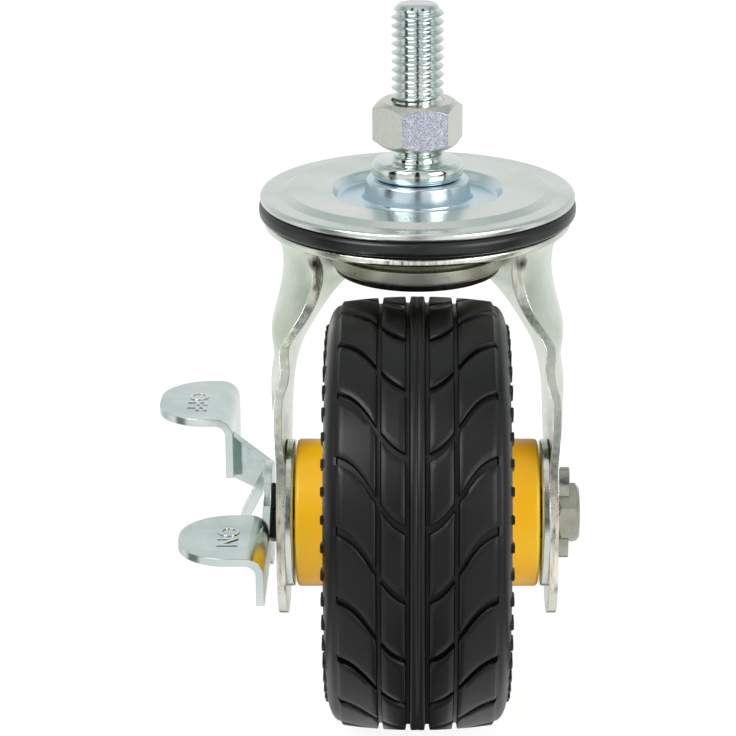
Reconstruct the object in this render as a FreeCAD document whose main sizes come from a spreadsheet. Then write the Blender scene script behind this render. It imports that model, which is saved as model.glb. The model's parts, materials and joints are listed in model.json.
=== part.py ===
import FreeCAD, Part
import math
import os
import re
import Sketcher
from FreeCAD import Vector

# A swivel caster with a threaded stem and a foot brake.
# Origin: on the swivel axis, at the foot of the stud's free length, just above the lock nut's upper face.
# +Z points up the stem, the wheel trails towards -Y, its axle lies along X, the brake is on the -X side.
# All sizes are millimetres.

SIZES = {
    # threaded stem
    "stud_radius": 6.25,
    "stud_free": 23.0,
    "stud_chamfer": 1.1,
    "stud_relief": 0.25,
    "thread_gap": 0.05,
    "collar_radius": 11.0,
    "collar_thick": 4.3,
    "collar_round": 1.5,
    "kingpin_radius": 7.6,
    "spigot_step": 1.0,
    "rivet_radius": 5.0,
    "rivet_head_radius": 7.2,
    "rivet_head_thick": 0.9,
    # lock nut
    "nut_flats": 19.0,
    "nut_set": 0.1,
    "nut_thick": 11.0,
    "nut_gap": 3.6,
    "nut_turn": 10.9,
    # pressed top disc
    "disc_sheet": 2.0,
    "boss_shelf": 3.7,
    "boss_height": 5.3,
    "recess_radius": 20.0,
    "rim_drop": 3.5,
    "ridge_radius": 31.0,
    "ridge_rise": 1.0,
    "ridge_width": 2.4,
    "rim_flat": 4.6,
    "inner_fall": 0.5,
    "press_round": 0.9,
    "press_slope": 0.7,
    # upper ball row and seal
    "upper_ball_radius": 2.38,
    "upper_ball_space": 0.6,
    "track_gap": 0.05,
    "seal_lip": 0.3,
    "seal_width": 3.7,
    "seal_gap": 0.3,
    "seal_round": 1.5,
    # fork crown
    "crown_inset": 1.0,
    "crown_sheet": 2.0,
    "crown_gap": 0.092,
    "dish_wall": 7.9,
    "dish_floor": 2.4,
    "crown_dish_depth": 6.2,
    "centre_margin": 3.01,
    "crown_centre_rise": 2.0,
    "crown_slope": 0.8,
    "crown_edge_round": 0.8,
    "kingpin_gap": 1.2,
    # lower ball row, race and cover
    "lower_ball_radius": 1.59,
    "lower_ball_space": 0.1,
    "lower_ball_gap": 2.61,
    "race_radius": 21.0,
    "race_wall": 1.6,
    "race_floor": 2.4,
    "race_gap": 0.3,
    "race_round": 0.8,
    "cover_inset": 1.0,
    "cover_thick": 1.5,
    "cover_gap": 0.2,
    "cover_round": 0.5,
    # fork legs
    "leg_sheet": 2.0,
    "leg_inner_half": 30.5,
    "flare_inset": 0.6,
    "neck_out": 0.9,
    "waist_out": 0.0,
    "middle_out": 2.1,
    "bulge_out": 2.2,
    "leg_front_reach": 23.0,
    "leg_rear_reach": 25.5,
    "leg_low_half": 17.4,
    "leg_end_drop": 24.3,
    "leg_front_pull": 20.0,
    "leg_front_lift": 35.5,
    "leg_rear_pull": 38.0,
    "leg_rear_lift": 33.0,
    "neck_drop": 4.2,
    "neck_curve": 34.5,
    "neck_shift": 0.6,
    "waist_drop": 9.8,
    "waist_curve": 34.0,
    "waist_shift": 2.0,
    "middle_drop": 20.2,
    "middle_curve": 44.0,
    "middle_shift": 9.5,
    "bulge_drop": 31.0,
    "bulge_curve": 100.0,
    "bulge_shift": 19.0,
    "flat_above_ear": 2.6,
    "leg_blank_margin": 8.0,
    # axle and wheel place
    "trail": 38.0,
    "wheel_gap": 0.921,
    "axle_radius": 4.0,
    "axle_clear": 0.1,
    "head_flats": 13.0,
    "head_thick": 5.5,
    "ear_reach": 11.3,
    "ear_width": 7.0,
    "ear_thick": 3.1,
    "sleeve_wall": 1.9,
    # ball bearings in the hub
    "bearing_radius": 14.0,
    "bearing_width": 8.0,
    "bearing_inset": 1.2,
    "race_ring": 2.2,
    "bearing_ball_gap": 0.1,
    "bearing_ball_space": 3.3,
    "shield_thick": 0.4,
    "shield_gap": 0.15,
    # hub, tyre and side discs
    "hub_gap": 0.5,
    "hub_wall": 3.4,
    "hub_round": 0.9,
    "rim_inset": 1.0,
    "side_disc_radius": 17.4,
    "side_disc_thick": 1.8,
    "side_disc_round": 0.5,
    "tyre_radius": 51.0,
    "tyre_height": 18.0,
    "tyre_half": 21.0,
    "tyre_crown": 1.2,
    "shoulder_round": 7.5,
    "bead_inset": 2.0,
    "groove_width": 1.2,
    "groove_depth": 1.4,
    "groove_draft": 0.2,
    "centre_groove": 2.2,
    "side_groove": 8.6,
    "shoulder_width": 3.6,
    "shoulder_step": 0.9,
    "step_draft": 0.4,
    "wall_bulge": 0.4,
    "sipe_count": 20,
    "sipe_width": 2.0,
    "sipe_rise": 15.9,
    "sipe_sway": 0.55,
    "sipe_overrun": 0.5,
    "lug_count": 44,
    "lug_length": 3.6,
    "lug_width": 2.1,
    "lug_proud": 0.6,
    "lug_root": 1.9,
    "lug_drop": 4.5,
    # brake
    "brake_sheet": 1.8,
    "brake_standoff": 1.5,
    "brake_nut_flats": 13.0,
    "brake_nut_gap": 0.05,
    "brake_lobe": 12.3,
    "front_pedal_reach": 28.0,
    "front_pedal_depth": 25.0,
    "front_pedal_width": 19.8,
    "rear_pedal_reach": 29.2,
    "rear_pedal_depth": 27.4,
    "rear_pedal_width": 18.4,
    "pedal_bend": 4.3,
    "pedal_corner": 11.5,
    "front_pedal_lift": 5.7,
    "front_web": 11.3,
    "rear_pedal_lift": 17.5,
    "rear_offset": 10.4,
    "rear_web": 15.0,
    "joggle_front": 10.0,
    "joggle_rear": 19.0,
    "bridge_overlap": 3.0,
    "bridge_low": 8.6,
    "arm_low": 2.0,
    "arm_dip": 1.3,
    "arm_root": 6.2,
    "arm_top_gap": 4.5,
    "tongue_width": 5.5,
    "tongue_sheet": 2.2,
    "tongue_flare": 5.2,
    "tongue_length": 10.0,
    "tongue_root": 8.8,
    "tongue_place": 2.25,
    "tongue_hole_radius": 0.9,
    "tongue_hole_drop": 3.0,
    "stop_width": 5.0,
    "stop_place": 7.0,
    "stop_reach": 13.5,
    "stop_height": 4.6,
    "cut_margin": 1.4,
}

# A hexagon's end chamfer: the flat face's share of the width across flats, and the cone's slope.
CHAMFER_FACE = 0.91
CHAMFER_ANGLE = 37.0
# How far along its inner radius a leg's curved section reaches, from its middle.
ARC_REACH = 0.9
# Levels that ease a leg from its bulge to its flat end.
EASE_STEPS = 4
# Straight lengths that make up each swaying cut in the tread.
SIPE_STEPS = 4
# Place of a quarter round's middle point, as a share of its radius.
DIAGONAL = math.sqrt(0.5)

doc = FreeCAD.newDocument("caster")
sheet = doc.addObject("Spreadsheet::Sheet", "sizes")
for row, (name, value) in enumerate(SIZES.items(), start=1):
    sheet.set(f"A{row}", name)
    sheet.set(f"B{row}", str(value))
    sheet.setAlias(f"B{row}", name)
doc.recompute()

PARTS = []


def bound(text):
    """The expression with every size name pointed at its cell."""
    def cell(match):
        word = match.group(0)
        return f"sizes.{word}" if word in SIZES else word
    return re.sub(r"[a-z][a-z_]+", cell, str(text))


def size(text):
    return float(sheet.evalExpression(bound(text)))


# Radii about the swivel axis, each from the piece that it fits.
SPIGOT = "(kingpin_radius + spigot_step)"
BOSS = f"({SPIGOT} + boss_shelf)"
DISC = "(ridge_radius + ridge_width + rim_flat)"
SEAL = f"({DISC} + seal_lip)"
CROWN = f"({DISC} - crown_inset)"
LOWER_PITCH = "(kingpin_radius + lower_ball_radius + lower_ball_gap)"
CENTRE_RADIUS = f"({LOWER_PITCH} + lower_ball_radius + centre_margin)"
DISH_RADIUS = f"({CENTRE_RADIUS} + crown_slope + dish_floor)"
FLAT_RADIUS = f"({DISH_RADIUS} + dish_wall)"
COVER = "(race_radius - cover_inset)"

# Levels along the swivel axis, worked out from the stack of pieces.
NUT_BASE = "-(nut_set + nut_thick)"
COLLAR_TOP = f"({NUT_BASE} - nut_gap)"
COLLAR_BASE = f"({COLLAR_TOP} - collar_thick)"
RECESS = f"({COLLAR_BASE} - boss_height)"
RIM_TOP = f"({COLLAR_BASE} - rim_drop)"
RIM_BASE = f"({RIM_TOP} - disc_sheet)"
RIDGE_TOP = f"({RIM_TOP} + ridge_rise)"
RIDGE_LEAN = "(sqrt(ridge_rise ^ 2 + ridge_width ^ 2) / ridge_width)"
UPPER_BALL = f"({RIDGE_TOP} - disc_sheet - upper_ball_radius * {RIDGE_LEAN} - track_gap)"
CROWN_TOP = f"({UPPER_BALL} - upper_ball_radius - crown_gap)"
CROWN_BASE = f"({CROWN_TOP} - crown_sheet)"
DISH_TOP = f"({CROWN_TOP} - crown_dish_depth)"
DISH_BASE = f"({DISH_TOP} - crown_sheet)"
CENTRE_TOP = f"({DISH_TOP} + crown_centre_rise)"
CENTRE_BASE = f"({DISH_BASE} + crown_centre_rise)"
LOWER_BALL = f"({CENTRE_BASE} - lower_ball_radius - track_gap)"
RACE_TOP = f"({DISH_BASE} - race_gap)"
RACE_FLOOR = f"({LOWER_BALL} - lower_ball_radius - track_gap)"
RACE_BASE = f"({RACE_FLOOR} - race_floor)"
COVER_BASE = f"({RACE_BASE} - cover_thick)"
AXLE_DROP = f"(sqrt((tyre_radius + wheel_gap) ^ 2 - (trail - {COVER}) ^ 2) - {COVER_BASE})"

# Places along the axle and radii about it.
LEG_OUTER = "(leg_inner_half + leg_sheet)"
BULGE = f"({LEG_OUTER} + bulge_out)"
PLATE_INNER = f"({LEG_OUTER} + brake_standoff)"
PLATE_OUTER = f"({PLATE_INNER} + brake_sheet)"
HUB_HALF = "(leg_inner_half - side_disc_thick - hub_gap)"
BEAD_HALF = "(tyre_half - bead_inset)"
RIM_HALF = f"({BEAD_HALF} - rim_inset)"
TREAD_HALF = "(tyre_half - shoulder_width)"
RIM_RADIUS = "(tyre_radius - tyre_height)"
HUB_RADIUS = "(bearing_radius + hub_wall)"
SLEEVE = "(axle_radius + axle_clear + sleeve_wall)"
BALL_RING = f"((bearing_radius + {SLEEVE}) / 2)"
BEARING_BALL = f"((bearing_radius - {SLEEVE}) / 2 - race_ring - bearing_ball_gap)"


def plane(body, role):
    for item in body.Origin.OriginFeatures:
        if item.Role == role:
            return item
    raise ValueError(role)


def body_of(label, at_axle=False):
    body = doc.addObject("PartDesign::Body", label)
    body.Label = label
    if at_axle:
        body.setExpression("Placement.Base.y", bound("-trail"))
        body.setExpression("Placement.Base.z", bound(f"-{AXLE_DROP}"))
    PARTS.append(body)
    return body


def new_sketch(body, name, role):
    sketch = body.newObject("Sketcher::SketchObject", name)
    sketch.AttachmentSupport = (plane(body, role), [""])
    sketch.MapMode = "FlatFace"
    return sketch


def pin_point(sketch, edge, end, across, up):
    """Holds one end of an edge at a place given by two expressions."""
    for kind, text, axis in (("DistanceX", across, -2), ("DistanceY", up, -1)):
        if text == "0":
            sketch.addConstraint(Sketcher.Constraint("PointOnObject", edge, end, axis))
            continue
        index = sketch.addConstraint(Sketcher.Constraint(kind, -1, 1, edge, end, size(text)))
        sketch.setExpression(f"Constraints[{index}]", bound(text))


def outline(sketch, points):
    """A closed outline of straight edges through points given as pairs of expressions."""
    corners = [Vector(size(a), size(b), 0) for a, b in points]
    count = len(corners)
    for i in range(count):
        sketch.addGeometry(Part.LineSegment(corners[i], corners[(i + 1) % count]), False)
    for i in range(count):
        sketch.addConstraint(Sketcher.Constraint("Coincident", i, 2, (i + 1) % count, 1))
    for i, (across, up) in enumerate(points):
        pin_point(sketch, i, 1, across, up)


def circle_edges(shape, picks, along):
    """Names of the circular edges with the given radius and place along the turning axis."""
    names = []
    for number, edge in enumerate(shape.Edges, start=1):
        if not isinstance(edge.Curve, Part.Circle):
            continue
        radius = edge.Curve.Radius
        level = edge.Curve.Center.dot(along)
        for want_radius, want_level in picks:
            if abs(radius - size(want_radius)) < 1e-4 and abs(level - size(want_level)) < 1e-4:
                names.append(f"Edge{number}")
    return names


def turned(label, points, rounds=(), axle=False):
    """A piece turned about the swivel axis (points: radius, height) or about the axle (place, radius)."""
    body = body_of(label, at_axle=axle)
    sketch = new_sketch(body, f"{label}_outline", "XZ_Plane")
    outline(sketch, points)
    turn = body.newObject("PartDesign::Revolution", f"{label}_turn")
    turn.Profile = sketch
    turn.ReferenceAxis = (sketch, ["H_Axis" if axle else "V_Axis"])
    turn.Angle = 360.0
    doc.recompute()
    base = turn
    along = Vector(1, 0, 0) if axle else Vector(0, 0, 1)
    for step, (radius, picks) in enumerate(rounds):
        fillet = body.newObject("PartDesign::Fillet", f"{label}_round_{step}")
        fillet.Base = (base, circle_edges(base.Shape, picks, along))
        fillet.setExpression("Radius", bound(radius))
        doc.recompute()
        base = fillet
    return body


def ball_angles(radius, space, pitch):
    """Angles of as many balls as fit a ring with the given room between them."""
    count = int(math.pi / math.asin((radius + space / 2) / pitch))
    return [2 * math.pi * i / count for i in range(count)]


def hexagon(flats, turn=0.0):
    """Corners of a hexagon across the given flats, in its own plane."""
    reach = flats / math.sqrt(3)
    return [(reach * math.cos(math.radians(60 * i + turn)), reach * math.sin(math.radians(60 * i + turn)))
            for i in range(6)]


def hex_body(flats, turn, low, high, bore, along_x):
    """A hexagon nut or head with both ends chamfered by a cone and an optional bore."""
    corners = hexagon(flats, turn)
    wire = Part.makePolygon([Vector(a, b, low) for a, b in corners + corners[:1]])
    prism = Part.Face(wire).extrude(Vector(0, 0, high - low))
    corner = flats / math.sqrt(3)
    face = flats / 2 * CHAMFER_FACE
    drop = (corner - face) * math.tan(math.radians(CHAMFER_ANGLE))
    profile = [Vector(0, 0, low), Vector(face, 0, low), Vector(corner, 0, low + drop),
               Vector(corner, 0, high - drop), Vector(face, 0, high), Vector(0, 0, high)]
    blank = Part.Face(Part.makePolygon(profile + profile[:1])).revolve(Vector(), Vector(0, 0, 1), 360)
    solid = prism.common(blank)
    if bore:
        solid = solid.cut(Part.makeCylinder(bore, high - low, Vector(0, 0, low)))
    if along_x:
        solid.rotate(Vector(), Vector(0, 1, 0), 90)
        solid.translate(Vector(0, -size("trail"), -size(AXLE_DROP)))
    return solid


def feature(label, shape):
    item = doc.addObject("Part::Feature", label)
    item.Label = label
    item.Shape = shape
    PARTS.append(item)
    return item


def ball_row(label, radius, space, pitch, height):
    """Separate balls spaced evenly on a circle about the swivel axis."""
    reach = size(pitch)
    centres = [Vector(reach * math.cos(angle), reach * math.sin(angle), size(height))
               for angle in ball_angles(size(radius), size(space), reach)]
    feature(label, Part.makeCompound([Part.makeSphere(size(radius), centre) for centre in centres]))


def threaded_stem():
    """Stud, collar and riveted kingpin, forged and turned as one piece."""
    neck = f"({RECESS} - disc_sheet)"
    turned("threaded_stem", [
        ("0", "stud_free"),
        ("stud_radius - stud_chamfer", "stud_free"),
        ("stud_radius", "stud_free - stud_chamfer"),
        ("stud_radius", "0"),
        ("stud_radius - stud_relief", "0"),
        ("stud_radius - stud_relief", COLLAR_TOP),
        ("collar_radius", COLLAR_TOP),
        ("collar_radius", COLLAR_BASE),
        (SPIGOT, COLLAR_BASE),
        (SPIGOT, neck),
        ("kingpin_radius", neck),
        ("kingpin_radius", RACE_FLOOR),
        ("rivet_radius", RACE_FLOOR),
        ("rivet_radius", RACE_BASE),
        ("rivet_head_radius", RACE_BASE),
        ("rivet_head_radius", f"{RACE_BASE} - rivet_head_thick"),
        ("0", f"{RACE_BASE} - rivet_head_thick"),
    ], rounds=[("collar_round", [("collar_radius", COLLAR_TOP), ("collar_radius", COLLAR_BASE)])])


def stem_nut():
    """Chamfered lock nut that runs on the stud."""
    feature("stem_nut", hex_body(size("nut_flats"), size("nut_turn") - 60, size(NUT_BASE), -size("nut_set"),
                                 size("stud_radius + thread_gap"), False))


def top_disc():
    """Pressed disc with a raised boss at its middle and a ball track under its ridge."""
    step = "press_slope"
    turned("top_disc", [
        (SPIGOT, COLLAR_BASE),
        (BOSS, COLLAR_BASE),
        (f"{BOSS} + {step}", RECESS),
        (f"recess_radius - {step}", RECESS),
        (f"recess_radius + {step}", f"{RIDGE_TOP} - inner_fall"),
        ("ridge_radius", RIDGE_TOP),
        ("ridge_radius + ridge_width", RIM_TOP),
        (DISC, RIM_TOP),
        (DISC, RIM_BASE),
        ("ridge_radius + ridge_width", RIM_BASE),
        ("ridge_radius", f"{RIDGE_TOP} - disc_sheet"),
        (f"recess_radius + 2 * {step}", f"{RIDGE_TOP} - inner_fall - disc_sheet"),
        ("recess_radius", f"{RECESS} - disc_sheet"),
        (f"{BOSS} - disc_sheet", f"{RECESS} - disc_sheet"),
        (f"{BOSS} - disc_sheet", f"{COLLAR_BASE} - disc_sheet"),
        (SPIGOT, f"{COLLAR_BASE} - disc_sheet"),
    ], rounds=[
        ("press_round", [
            (BOSS, COLLAR_BASE),
            (f"{BOSS} + {step}", RECESS),
            (f"recess_radius - {step}", RECESS),
            (f"recess_radius + {step}", f"{RIDGE_TOP} - inner_fall"),
            (DISC, RIM_TOP),
            (DISC, RIM_BASE),
        ]),
    ])


def dust_seal():
    """Rubber ring that closes the gap between the top disc and the fork's crown."""
    base = f"({CROWN_TOP} + seal_gap)"
    turned("dust_seal", [
        (f"{SEAL} - seal_width", RIM_BASE),
        (SEAL, RIM_BASE),
        (SEAL, base),
        (f"{SEAL} - seal_width", base),
    ], rounds=[("seal_round", [(SEAL, RIM_BASE), (SEAL, base)])])


def lower_race():
    """Cup that holds the lower balls, riveted to the kingpin."""
    turned("lower_race", [
        ("rivet_radius", RACE_FLOOR),
        ("race_radius - race_wall", RACE_FLOOR),
        ("race_radius - race_wall", RACE_TOP),
        ("race_radius", RACE_TOP),
        ("race_radius", RACE_BASE),
        ("rivet_radius", RACE_BASE),
    ], rounds=[("race_round", [("race_radius", RACE_BASE)])])


def bottom_cover():
    """Black washer under the race, round the rivet's head."""
    turned("bottom_cover", [
        ("rivet_head_radius + cover_gap", RACE_BASE),
        (COVER, RACE_BASE),
        (COVER, COVER_BASE),
        ("rivet_head_radius + cover_gap", COVER_BASE),
    ], rounds=[("cover_round", [(COVER, COVER_BASE)])])


def crown():
    """The fork's round crown: flat flange, dish and raised middle, as a solid of revolution."""
    hole = "(kingpin_radius + kingpin_gap)"
    slope = "crown_slope"
    points = [
        (hole, CENTRE_TOP),
        (CENTRE_RADIUS, CENTRE_TOP),
        (f"{CENTRE_RADIUS} + {slope}", DISH_TOP),
        (DISH_RADIUS, DISH_TOP),
        (FLAT_RADIUS, CROWN_TOP),
        (CROWN, CROWN_TOP),
        (CROWN, CROWN_BASE),
        (f"{FLAT_RADIUS} + {slope}", CROWN_BASE),
        (f"{DISH_RADIUS} + {slope}", DISH_BASE),
        (f"{CENTRE_RADIUS} - {slope}", DISH_BASE),
        (f"{CENTRE_RADIUS} - 2 * {slope}", CENTRE_BASE),
        (hole, CENTRE_BASE),
    ]
    corners = [Vector(size(a), 0, size(b)) for a, b in points]
    face = Part.Face(Part.makePolygon(corners + corners[:1]))
    solid = face.revolve(Vector(), Vector(0, 0, 1), 360)
    rim = circle_edges(solid, [(CROWN, CROWN_TOP), (CROWN, CROWN_BASE)], Vector(0, 0, 1))
    return solid.makeFillet(size("crown_edge_round"), [solid.Edges[int(name[4:]) - 1] for name in rim])


def leg_section(height, reach, curve, shift):
    """One curved level of a leg: two parallel arcs a sheet apart, whose middle lies shift forward."""
    outer = curve
    inner = curve - size("leg_sheet")
    front = max(-shift - ARC_REACH * inner, -leg_blank_reach())
    rear = min(-shift + ARC_REACH * inner, leg_blank_reach())

    def place(radius, across):
        across_arc = math.sqrt(radius ** 2 - (across + shift) ** 2)
        return Vector(curve - reach - across_arc, across, height)

    middle = (front + rear) / 2
    return Part.Wire([
        Part.Arc(place(outer, front), place(outer, middle), place(outer, rear)).toShape(),
        Part.makeLine(place(outer, rear), place(inner, rear)),
        Part.Arc(place(inner, rear), place(inner, middle), place(inner, front)).toShape(),
        Part.makeLine(place(inner, front), place(outer, front)),
    ])


def leg_blank_reach():
    """Half length of the sheet that a leg is cut from, past its lower end's front edge."""
    return size("trail + leg_low_half + leg_blank_margin")


def flat_section(height):
    """One straight level of a leg, where it lies flat beside the wheel."""
    reach = leg_blank_reach()
    outer = -size(LEG_OUTER)
    inner = -size("leg_inner_half")
    corners = [Vector(outer, -reach, height), Vector(outer, reach, height),
               Vector(inner, reach, height), Vector(inner, -reach, height)]
    return Part.makePolygon(corners + corners[:1])


def leg_outline():
    """Side view of a leg: it sweeps from under the crown forward to a round end below the axle."""
    top = size(CROWN_BASE) + size("crown_sheet") / 2
    knee = size(DISH_BASE)
    trail = size("trail")
    axle = -size(AXLE_DROP)
    half = size("leg_low_half")
    end = axle - size("leg_end_drop")
    front_top = Vector(0, -size("leg_front_reach"), knee)
    front_low = Vector(0, -trail - half, end + half)
    rear_low = Vector(0, -trail + half, end + half)
    rear_top = Vector(0, size("leg_rear_reach"), knee - size("crown_sheet"))
    front_curve = Part.BezierCurve()
    front_curve.setPoles([front_top, front_top - Vector(0, 0, size("leg_front_pull")),
                          front_low + Vector(0, 0, size("leg_front_lift")), front_low])
    rear_curve = Part.BezierCurve()
    rear_curve.setPoles([rear_low, rear_low + Vector(0, 0, size("leg_rear_lift")),
                         rear_top - Vector(0, 0, size("leg_rear_pull")), rear_top])
    end_arc = Part.Arc(front_low, Vector(0, -trail, end), rear_low)
    over_rear = Vector(0, rear_top.y, top)
    over_front = Vector(0, front_top.y, top)
    edges = [front_curve.toShape(), end_arc.toShape(), rear_curve.toShape(),
             Part.makeLine(rear_top, over_rear), Part.makeLine(over_rear, over_front),
             Part.makeLine(over_front, front_top)]
    return Part.Face(Part.Wire(edges))


def leg():
    """One pressed leg: flared into the crown's flange, waisted below it, bulged, then flat at the axle."""
    top = size(CROWN_BASE) + size("crown_sheet") / 2
    flat_top = size(f"ear_reach + flat_above_ear - {AXLE_DROP}")
    flare = size(f"{CROWN} - flare_inset")
    bulge = size(BULGE)
    outer = size(LEG_OUTER)
    neck = outer + size("neck_out")
    waist = outer + size("waist_out")
    middle = outer + size("middle_out")
    sections = [
        leg_section(top, flare, flare, 0),
        leg_section(top - size("neck_drop"), neck, size("neck_curve"), size("neck_shift")),
        leg_section(top - size("waist_drop"), waist, size("waist_curve"), size("waist_shift")),
        leg_section(top - size("middle_drop"), middle, size("middle_curve"), size("middle_shift")),
    ]
    fall = top - size("bulge_drop") - flat_top
    for i in range(EASE_STEPS):
        left = 1 - i / EASE_STEPS
        reach = outer + (bulge - outer) * left ** 2 * (3 - 2 * left)
        shift = size("trail") + (size("bulge_shift") - size("trail")) * left
        sections.append(leg_section(flat_top + fall * left, reach, size("bulge_curve") / left ** 2, shift))
    sections.append(flat_section(flat_top))
    curved = Part.makeLoft(sections, True, False)
    half = leg_blank_reach()
    deep = flat_top + size(f"{AXLE_DROP} + leg_end_drop + leg_blank_margin")
    flat = Part.makeBox(size("leg_sheet"), 2 * half, deep, Vector(-outer, -half, flat_top - deep))
    prism = leg_outline()
    prism.translate(Vector(-2 * bulge, 0, 0))
    prism = prism.extrude(Vector(2 * bulge, 0, 0))
    return curved.common(prism).fuse(flat.common(prism))


def fork():
    """Crown and both legs, pressed from one sheet."""
    left = leg()
    right = left.mirror(Vector(), Vector(1, 0, 0))
    body = crown().fuse([left, right])
    reach = 2 * size(BULGE)
    hole = Part.makeCylinder(size("axle_radius + axle_clear"), 2 * reach,
                             Vector(-reach, -size("trail"), -size(AXLE_DROP)), Vector(1, 0, 0))
    feature("fork", body.cut(hole).removeSplitter())


def axle_parts():
    """Forged bolt whose hexagon head has two ears against the right leg, and the sleeve between the legs."""
    tip = -size(PLATE_OUTER)
    seat = size(LEG_OUTER)
    radius = size("axle_radius")
    shank = Part.makeCylinder(radius, seat - tip, Vector(tip, 0, 0), Vector(1, 0, 0))
    ear_half = size("ear_width") / 2
    ear_tall = size("ear_reach") - ear_half
    thick = size("ear_thick")
    strip = Part.makeBox(thick, 2 * ear_half, 2 * ear_tall, Vector(seat, -ear_half, -ear_tall))
    ends = [Part.makeCylinder(ear_half, thick, Vector(seat, 0, up), Vector(1, 0, 0))
            for up in (-ear_tall, ear_tall)]
    bolt = shank.fuse([strip] + ends)
    bolt.translate(Vector(0, -size("trail"), -size(AXLE_DROP)))
    head = hex_body(size("head_flats"), 0.0, seat, seat + size("head_thick"), 0, True)
    feature("axle_bolt", bolt.fuse(head).removeSplitter())
    turned("axle_sleeve", [
        ("-leg_inner_half", "axle_radius + axle_clear"),
        ("-leg_inner_half", SLEEVE),
        ("leg_inner_half", SLEEVE),
        ("leg_inner_half", "axle_radius + axle_clear"),
    ], axle=True)


def side_disc(side, sign):
    """Zinc-plated friction disc between a leg and the hub."""
    inner = f"{sign}(leg_inner_half - side_disc_thick)"
    outer = f"{sign}leg_inner_half"
    turned(f"side_disc_{side}", [
        (inner, f"{SLEEVE} + axle_clear"),
        (inner, "side_disc_radius"),
        (outer, "side_disc_radius"),
        (outer, f"{SLEEVE} + axle_clear"),
    ], rounds=[("side_disc_round", [("side_disc_radius", inner)])], axle=True)


def bearing(side, sign):
    """Ball bearing: inner ring, outer ring, balls and the outer shield."""
    near = f"({HUB_HALF} - bearing_inset)"
    far = f"({near} - bearing_width)"
    inner_ring = f"({SLEEVE} + race_ring)"
    turned(f"bearing_inner_{side}", [
        (f"{sign}{far}", SLEEVE),
        (f"{sign}{far}", inner_ring),
        (f"{sign}{near}", inner_ring),
        (f"{sign}{near}", SLEEVE),
    ], axle=True)
    turned(f"bearing_outer_{side}", [
        (f"{sign}{far}", "bearing_radius - race_ring"),
        (f"{sign}{far}", "bearing_radius"),
        (f"{sign}{near}", "bearing_radius"),
        (f"{sign}{near}", "bearing_radius - race_ring"),
    ], axle=True)
    turned(f"bearing_shield_{side}", [
        (f"{sign}({near} - shield_thick)", f"{inner_ring} + shield_gap"),
        (f"{sign}({near} - shield_thick)", "bearing_radius - race_ring"),
        (f"{sign}{near}", "bearing_radius - race_ring"),
        (f"{sign}{near}", f"{inner_ring} + shield_gap"),
    ], axle=True)
    middle = size(f"{sign}({near} - bearing_width / 2)")
    ring = size(BALL_RING)
    radius = size(BEARING_BALL)
    angles = ball_angles(radius, size("bearing_ball_space"), ring)
    centres = [Vector(middle, ring * math.cos(angle), ring * math.sin(angle)) for angle in angles]
    balls = Part.makeCompound([Part.makeSphere(radius, centre) for centre in centres])
    balls.translate(Vector(0, -size("trail"), -size(AXLE_DROP)))
    feature(f"bearing_balls_{side}", balls)


def wheel_hub():
    """Moulded hub: a wide rim under the tyre and two round necks that hold the bearings."""
    seat = f"({HUB_HALF} - bearing_inset - bearing_width)"
    turned("wheel_hub", [
        (f"-{HUB_HALF}", "bearing_radius"),
        (f"-{HUB_HALF}", HUB_RADIUS),
        (f"-{RIM_HALF}", HUB_RADIUS),
        (f"-{RIM_HALF}", RIM_RADIUS),
        (RIM_HALF, RIM_RADIUS),
        (RIM_HALF, HUB_RADIUS),
        (HUB_HALF, HUB_RADIUS),
        (HUB_HALF, "bearing_radius"),
        (seat, "bearing_radius"),
        (seat, "bearing_radius - race_ring"),
        (f"-{seat}", "bearing_radius - race_ring"),
        (f"-{seat}", "bearing_radius"),
    ], rounds=[("hub_round", [(HUB_RADIUS, f"-{HUB_HALF}"), (HUB_RADIUS, HUB_HALF)])], axle=True)


def tyre_profile():
    """Section of the tyre: ribs, four round grooves, a step outside the tread, shoulders and beads."""
    radius = size("tyre_radius")
    tread = size(TREAD_HALF)

    def crown_at(across):
        return radius - size("tyre_crown") * (across / tread) ** 2

    groove = size("groove_width") / 2
    floor = radius - size("groove_depth")
    grooves = [-size("side_groove"), -size("centre_groove"), size("centre_groove"), size("side_groove")]
    foot = groove - size("groove_draft")
    points = [Vector(-tread, 0, crown_at(tread))]
    for place in grooves:
        points += [Vector(place - groove, 0, crown_at(place)), Vector(place - foot, 0, floor),
                   Vector(place + foot, 0, floor), Vector(place + groove, 0, crown_at(place))]
    points.append(Vector(tread, 0, crown_at(tread)))
    step = crown_at(tread) - size("shoulder_step")
    half = size("tyre_half")
    round_by = size("shoulder_round")
    bead = size(BEAD_HALF)
    low = size(RIM_RADIUS)
    wide = step - round_by
    middle = (wide + low) / 2
    edges = [Part.makeLine(points[i], points[i + 1]) for i in range(len(points) - 1)]
    for sign in (-1, 1):
        top = Vector(sign * tread, 0, crown_at(tread))
        ledge = tread + size("step_draft")
        corner = Vector(sign * ledge, 0, step)
        side = Vector(sign * half, 0, wide)
        bulge = Vector(sign * (ledge + (half - ledge) * DIAGONAL), 0, step - round_by * (1 - DIAGONAL))
        wall = Vector(sign * ((half + bead) / 2 + size("wall_bulge")), 0, middle)
        edges += [Part.makeLine(top, corner), Part.Arc(corner, bulge, side).toShape(),
                  Part.Arc(side, wall, Vector(sign * bead, 0, low)).toShape()]
    edges.append(Part.makeLine(Vector(bead, 0, low), Vector(-bead, 0, low)))
    return Part.Face(Part.Wire(Part.__sortEdges__(edges)))


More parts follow.
